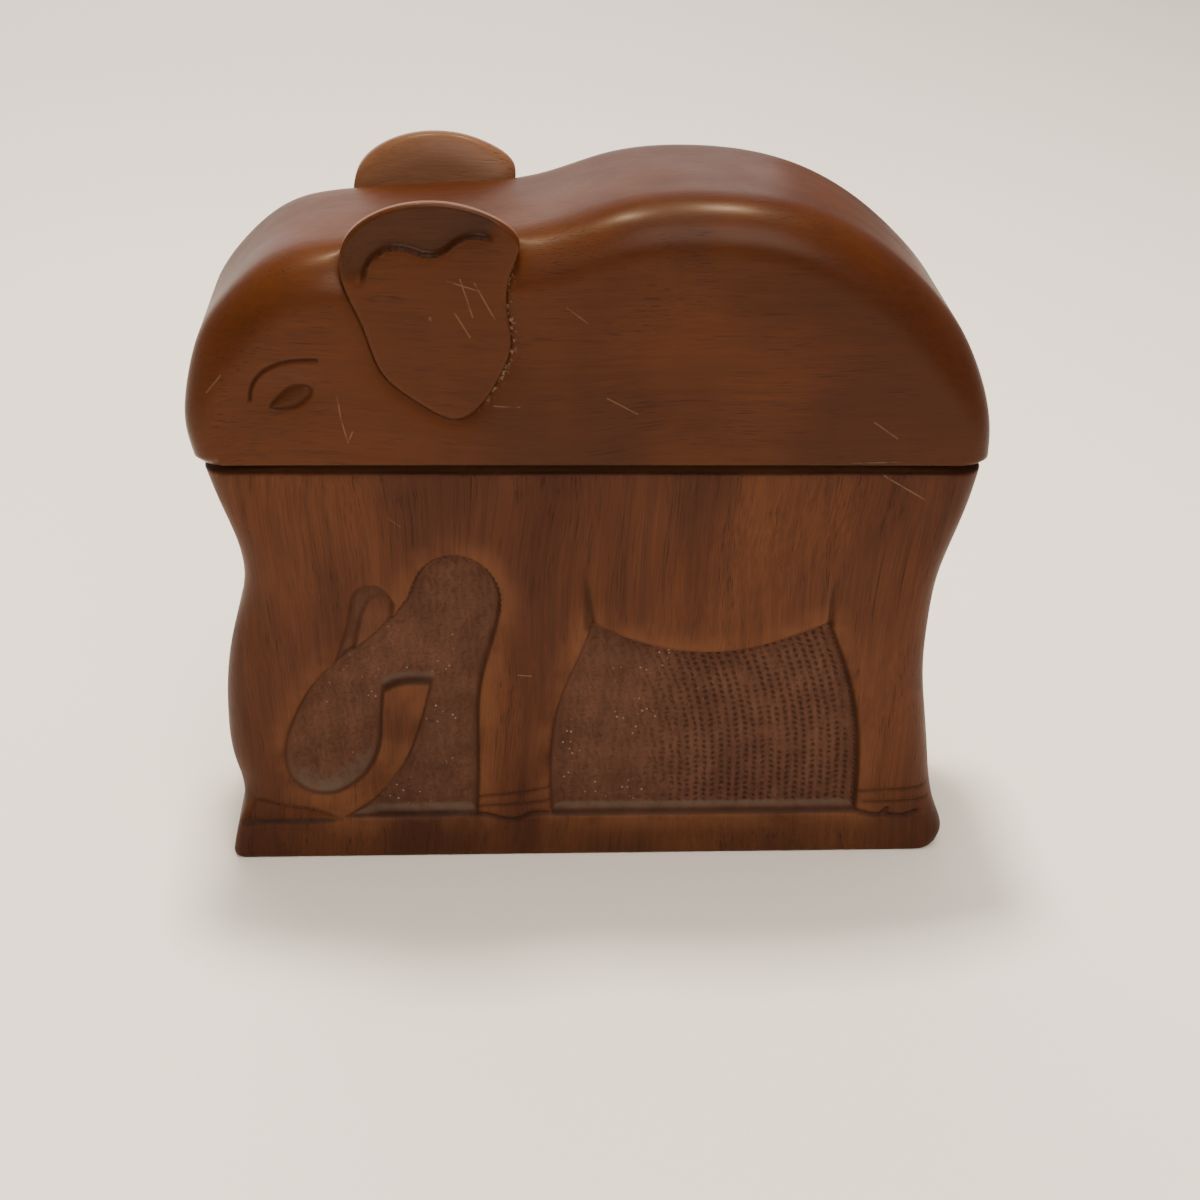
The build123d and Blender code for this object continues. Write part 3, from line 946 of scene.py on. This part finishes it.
    def scratches(self, lines, width=0.24):
        """Several scratches, broken up along their length, on the near face only."""
        total = self.scratch(*lines[0], width)
        for line in lines[1:]:
            total = self.most(total, self.scratch(*line, width))
        near = self.ramp(self.split(self.place, "Y"), -15.0, -20.0)
        broken = self.ramp(self.noise(3.6, 2.0, 5.0), 0.34, 0.60)
        return self.times(self.times(total, near), broken)

    def bumps(self, *heights):
        """Sum of heights in millimetres as a bump."""
        height = self.plus(*heights)
        return self.add("ShaderNodeBump", {"Height": height, "Distance": 0.001, "Strength": 1.0})

    def finish(self, colour, rough, normal, coat, shine):
        sockets = {"Base Color": colour, "Roughness": rough, "Normal": normal, "Coat Weight": coat,
                   "Coat Roughness": 0.27, "Specular IOR Level": shine}
        for label, value in sockets.items():
            self.put(self.shader.inputs[label], value)
        return self.material


# Colours as shares of red, green and blue light.
UPRIGHT_DARK = (0.057, 0.0168, 0.0072)
UPRIGHT_LIGHT = (0.106, 0.0357, 0.0135)
UPRIGHT_RUBBED = (0.147, 0.0560, 0.0225)
GROUND_DARK = (0.074, 0.0325, 0.0210)
GROUND_LIGHT = (0.103, 0.0465, 0.0300)
LEVEL_DARK = (0.0505, 0.0121, 0.0024)
LEVEL_LIGHT = (0.0755, 0.0204, 0.0037)
# Lighter colour for the painted light on the ears' edges and inner sides.
LEVEL_PAINTED_LIGHT = (0.155, 0.0670, 0.0305)
PALE_DUST = (0.42, 0.33, 0.23)
GREY_DUST = (0.098, 0.078, 0.052)
SCRATCH = (0.45, 0.30, 0.18)
RAW_WOOD = (0.24, 0.12, 0.06)
FLOOR_DARK = (0.88, 0.78, 0.66)
FLOOR_LIGHT = (0.90, 0.81, 0.69)

# Ends of each scratch on the near face, as (x, z).
BODY_SCRATCHES = [
    ((-47.2, 95.6), (-45.6, 93.4)), ((-45.6, 93.4), (-43.1, 91.3)), ((64.6, 104.4), (74.4, 98.5)),
    ((-17.0, 52.5), (-14.0, 52.3)),
]
LID_SCRATCHES = [
    ((-56.2, 123.5), (-55.6, 118.2)), ((-55.6, 118.2), (-54.3, 112.4)),
    ((-54.3, 112.4), (-53.2, 115.0)), ((-33.0, 149.6), (-26.0, 147.4)),
    ((-29.6, 149.8), (-27.0, 141.5)), ((-26.6, 149.0), (-22.3, 140.9)),
    ((-30.8, 142.4), (-27.6, 137.0)), ((-7.2, 143.7), (-2.2, 139.9)),
    ((61.0, 117.5), (66.5, 113.6)), ((-22.5, 121.0), (-17.0, 120.9)),
    ((57.0, 107.6), (69.0, 107.9)), ((-80.6, 128.0), (-84.0, 123.8)), ((2.0, 123.0), (8.6, 119.4)),
]


def upright_wood():
    """Waxed brown wood with the grain upright: broad tones, upright bands, short dark
    pores, pale rubbed edges along the carving, matt punched grounds, and painted shade
    in the cut lines and along the grounds' edges."""
    b = Bench("upright_grain_wood", 2)
    x = b.split(b.place, "X")
    tone = b.fibre(26, 90, 2.0)
    band = b.fibre(1.7, 90, 3.0, 4.0)
    thread = b.fibre(0.36, 16, 2.0, 9.0)
    pore = b.times(b.ramp(b.fibre(0.30, 15, 1.0, 17.0), 0.56, 0.70),
                   b.ramp(b.fibre(4.0, 50, 1.0, 23.0), 0.34, 0.60))
    colour = b.blend(b.ramp(tone, 0.30, 0.70), UPRIGHT_DARK, UPRIGHT_LIGHT)
    colour = b.dim(b.ramp(band, 0.62, 0.34, 0.5), colour, 0.68)
    colour = b.dim(b.ramp(thread, 0.62, 0.36, 0.5), colour, 0.66)
    colour = b.dim(b.times(pore, 0.7), colour, 0.4)
    z = b.split(b.place, "Z")
    colour = b.dim(b.ramp(z, 11.6, 10.4), colour, 0.86)

    inside = b.value("inside")
    rub = b.times(b.ramp(inside, -7.0, -0.6), b.ramp(b.noise(14, 3.0), 0.3, 0.6))
    colour = b.blend(b.times(rub, 0.45), colour, UPRIGHT_RUBBED)

    ground = b.value("ground")
    mottle = b.noise(7, 4.0, 3.0)
    matt = b.blend(b.ramp(mottle, 0.3, 0.7), GROUND_DARK, GROUND_LIGHT)
    matt = b.dim(b.ramp(b.fibre(1.6, 40, 2.0, 2.0), 0.6, 0.35, 0.5), matt, 0.72)
    colour = b.blend(b.times(ground, 0.86), colour, matt)

    floor = b.ramp(inside, 1.2, 2.2)
    firm = b.times(b.most(b.ramp(x, 0, 30), 0.28), b.ramp(b.noise(5, 2.0, 8.0), 0.26, 0.5))
    firm = b.times(firm, floor)
    punch = b.times(b.marks("rows", (ROW_GAP, DOT_GAP, 0), 0.66, 0.24), firm)
    column = b.times(b.marks("rows", (ROW_GAP, 0, 0), 0.7, 0.2), firm)
    colour = b.dim(b.times(column, 0.28), colour, 0.62)
    run = b.marks("border", (0, BORDER_GAP, 0), 0.6, 0.2)
    arch = b.times(b.ramp(z, 58, 76), b.ramp(x, -15, -20))
    from_row = b.less(b.plus(inside, b.times(arch, 0.8)), 0.9)
    by_edge = b.ramp(b.math("ABSOLUTE", from_row), 0.6, 0.2)
    facing = b.split(b.add("ShaderNodeNewGeometry", {}, "Normal"), "Z")
    kept = b.most(b.ramp(x, 48, 60), arch)
    kept = b.times(kept, b.ramp(facing, 0.35, 0.1))
    line = b.times(b.times(by_edge, run), kept)
    prick = b.add("ShaderNodeTexVoronoi", {"Vector": b.place, "Scale": 1.15}, "Distance")
    prick = b.times(b.times(b.ramp(prick, 0.34, 0.10), floor), 0.5)
    dots = b.most(b.most(punch, b.times(line, 0.8)), prick)
    colour = b.dim(b.times(dots, 0.68), colour, 0.4)

    fleck = b.add("ShaderNodeTexVoronoi", {"Vector": b.place, "Scale": 0.62}, "Distance")
    where = b.times(b.ramp(b.noise(11, 2.0, 31.0), 0.5, 0.66), b.ramp(x, 38, 10))
    fleck = b.times(b.times(b.ramp(fleck, 0.20, 0.08), where), floor)
    colour = b.blend(b.times(fleck, 0.6), colour, PALE_DUST)

    dust = b.times(b.times(b.ramp(facing, 0.05, 0.7), b.ramp(inside, 0.4, 1.3)),
                   b.ramp(b.noise(3.5, 3.0, 12.0), 0.1, 0.6))
    colour = b.blend(b.times(dust, 0.55), colour, GREY_DUST)
    # Painted shade: the up-facing walls near the grounds' edges are darkened.
    lip = b.times(b.ramp(facing, 0.3, 0.8), b.ramp(inside, 0.9, 0.3, 0.8))
    colour = b.dim(lip, colour, 0.62)
    # Painted shade: the cut lines and creases are darkened.
    groove = b.value("groove")
    colour = b.dim(groove, colour, 0.3)
    # Painted shade: a dark line along each ground's edge.
    edge = b.times(b.ramp(b.math("ABSOLUTE", b.less(inside, 0.35)), 0.55, 0.1), 0.5)
    colour = b.dim(edge, colour, 0.5)
    scratch = b.scratches(BODY_SCRATCHES)
    colour = b.blend(b.times(scratch, 0.16), colour, SCRATCH)
    raw = b.value("raw")
    colour = b.blend(b.times(raw, 0.5), colour, RAW_WOOD)

    rough = b.ramp(b.noise(16, 3.0, 6.0), 0.2, 0.8, 0.16)
    rough = b.plus(rough, b.plus(b.times(ground, 0.34), 0.40))
    rough = b.plus(rough, b.times(raw, 0.3))
    normal = b.bumps(b.times(thread, 0.03), b.times(pore, -0.05), b.times(dots, -0.25),
                     b.times(mottle, 0.10), b.times(scratch, -0.03))
    return b.finish(colour, rough, normal, 0.0, 0.11)


def level_wood():
    """The same wood with the grain level and a deeper wax: fine even fibres, faint bands,
    a few short flecks, painted shade in the cut lines, the ears' folds and bands and the
    trench round the ear, painted light on the ears' inner sides, and a little dried wax
    beside the ear."""
    b = Bench("level_grain_wood", 0)
    tone = b.noise(40, 2.0)
    band = b.fibre(1.5, 80, 3.0, 4.0)
    thread = b.fibre(0.34, 10, 2.0, 9.0)
    pore = b.times(b.ramp(b.fibre(0.30, 11, 1.0, 17.0), 0.57, 0.70),
                   b.ramp(b.noise(14, 2.0, 23.0), 0.38, 0.60))
    colour = b.blend(b.ramp(tone, 0.34, 0.66), LEVEL_DARK, LEVEL_LIGHT)
    # Painted light: the ears' edges and inner sides are lighter.
    colour = b.blend(b.times(b.value("painted_light_side"), 0.8), colour, LEVEL_PAINTED_LIGHT)
    colour = b.dim(b.ramp(band, 0.62, 0.34, 0.35), colour, 0.72)
    colour = b.dim(b.ramp(thread, 0.62, 0.36, 0.35), colour, 0.72)
    colour = b.dim(b.times(pore, 0.55), colour, 0.4)
    # Painted shade on each ear's scooped band above the fold.
    colour = b.dim(b.value("band"), colour, 0.62)
    # Painted shade: the cut lines, the ears' folds and the trench round the ear are darkened.
    groove = b.value("groove")
    colour = b.dim(groove, colour, 0.25)
    wax = b.times(b.value("residue"), b.ramp(b.noise(0.9, 4.0, 2.0), 0.50, 0.64))
    colour = b.blend(b.times(wax, 0.38), colour, PALE_DUST)
    scratch = b.scratches(LID_SCRATCHES)
    colour = b.blend(b.times(scratch, 0.13), colour, SCRATCH)
    raw = b.value("raw")
    colour = b.blend(b.times(raw, 0.5), colour, RAW_WOOD)
    haze = b.ramp(b.noise(24, 4.0, 6.0), 0.25, 0.75, 0.14)
    rough = b.plus(b.plus(haze, 0.33), b.times(raw, 0.35))
    rough = b.plus(rough, b.times(b.most(wax, groove), 0.35))
    normal = b.bumps(b.times(thread, 0.022), b.times(pore, -0.03),
                     b.times(scratch, -0.03), b.times(b.noise(9, 2.0, 1.0), 0.10))
    coat = b.times(b.less(1.0, b.most(raw, groove)), 0.11)
    return b.finish(colour, rough, normal, coat, 0.09)


def plain_floor():
    """Pale matt floor with a very slight unevenness of tone."""
    b = Bench("pale_floor", 0)
    colour = b.blend(b.noise(160, 2.0), FLOOR_DARK, FLOOR_LIGHT)
    return b.finish(colour, 0.7, b.bumps(b.times(b.noise(3, 2.0), 0.02)), 0.0, 0.3)


# ---- Stage ----
CAMERA_TURN = radians(-4.0)
CAMERA_RISE = radians(29.6)
CAMERA_ROLL = radians(1.75)
CAMERA_DISTANCE = 0.457
CAMERA_TARGET = Vector((0.0036, 0, 0.0572))
WARM = (1, 0.92, 0.83)
LAMPLIGHT = (1, 0.74, 0.45)


def make_camera():
    """Camera at the height and turn that show the near face and the top of the lid."""
    back = Vector((sin(CAMERA_TURN) * cos(CAMERA_RISE), -cos(CAMERA_TURN) * cos(CAMERA_RISE),
                   sin(CAMERA_RISE)))
    level = (-back).cross(Vector((0, 0, 1))).normalized()
    upright = level.cross(-back)
    right = level * cos(CAMERA_ROLL) + upright * sin(CAMERA_ROLL)
    up = -level * sin(CAMERA_ROLL) + upright * cos(CAMERA_ROLL)
    lens = bpy.data.cameras.new("camera")
    lens.sensor_width = 36
    lens.lens = 55.5
    lens.clip_start = 0.01
    made = bpy.data.objects.new("camera", lens)
    bpy.context.scene.collection.objects.link(made)
    turn = Matrix((right, up, back)).transposed().to_4x4()
    turn.translation = CAMERA_TARGET + back * CAMERA_DISTANCE
    made.matrix_world = turn
    bpy.context.scene.camera = made


def make_light(name, place, target, size, power, colour, seen="both"):
    """Soft square lamp that faces its target. A lamp seen only as "glow" lights the
    surfaces without a reflection of itself; one seen as "gloss" is only a reflection."""
    data = bpy.data.lights.new(name, "AREA")
    data.size = size
    data.energy = power
    data.color = colour
    made = bpy.data.objects.new(name, data)
    bpy.context.scene.collection.objects.link(made)
    made.location = place
    made.rotation_euler = (Vector(target) - Vector(place)).to_track_quat("-Z", "Y").to_euler()
    made.visible_glossy = seen != "glow"
    made.visible_diffuse = seen != "gloss"


def make_stage():
    """Pale floor, pale surroundings and soft lamps."""
    bpy.ops.mesh.primitive_plane_add(size=6)
    floor = bpy.context.object
    floor.name = "floor"
    floor.data.materials.append(plain_floor())
    world = bpy.data.worlds.new("room")
    world.use_nodes = True
    sky = world.node_tree.nodes["Background"]
    sky.inputs["Color"].default_value = (0.93, 0.96, 1, 1)
    sky.inputs["Strength"].default_value = 0.28
    bpy.context.scene.world = world
    make_light("window", (-0.35, 1.45, 0.80), (0, 0, 0.1), 1.9, 15, (1.0, 0.93, 0.88))
    make_light("window_glow", (-0.30, 1.45, 0.85), (0, 0, 0.1), 0.9, 8, WARM, "glow")
    make_light("skylight", (-0.06, 0.20, 1.0), (0, 0, 0.05), 0.14, 15, WARM, "glow")
    make_light("ceiling_glow", (0.10, -0.25, 1.6), (0, 0, 0), 1.3, 14, (0.98, 0.98, 1), "glow")
    make_light("left_ceiling_lamp", (-0.17, -0.06, 0.95), (0, 0, 0.15), 0.04, 6, LAMPLIGHT, "gloss")
    make_light("right_ceiling_lamp", (0.17, 0.05, 0.92), (0, 0, 0.15), 0.04, 6, LAMPLIGHT, "gloss")
    make_light("fill", (0.20, -0.95, 0.85), (0, 0, 0.08), 0.7, 9.5, (1, 0.90, 0.78))


# ---- Assembly ----
make_camera()
make_stage()

body = make_body()
body.data.materials.append(upright_wood())
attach(body, "body")
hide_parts("box_body")

lid = make_lid()
lid_wood = level_wood()
lid.data.materials.append(lid_wood)
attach(lid, "lid")
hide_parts("lid")

for name, side in (("near_ear", -1), ("far_ear", 1)):
    ear = make_ear(name, side)
    ear.data.materials.append(lid_wood)
    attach(ear, "lid")
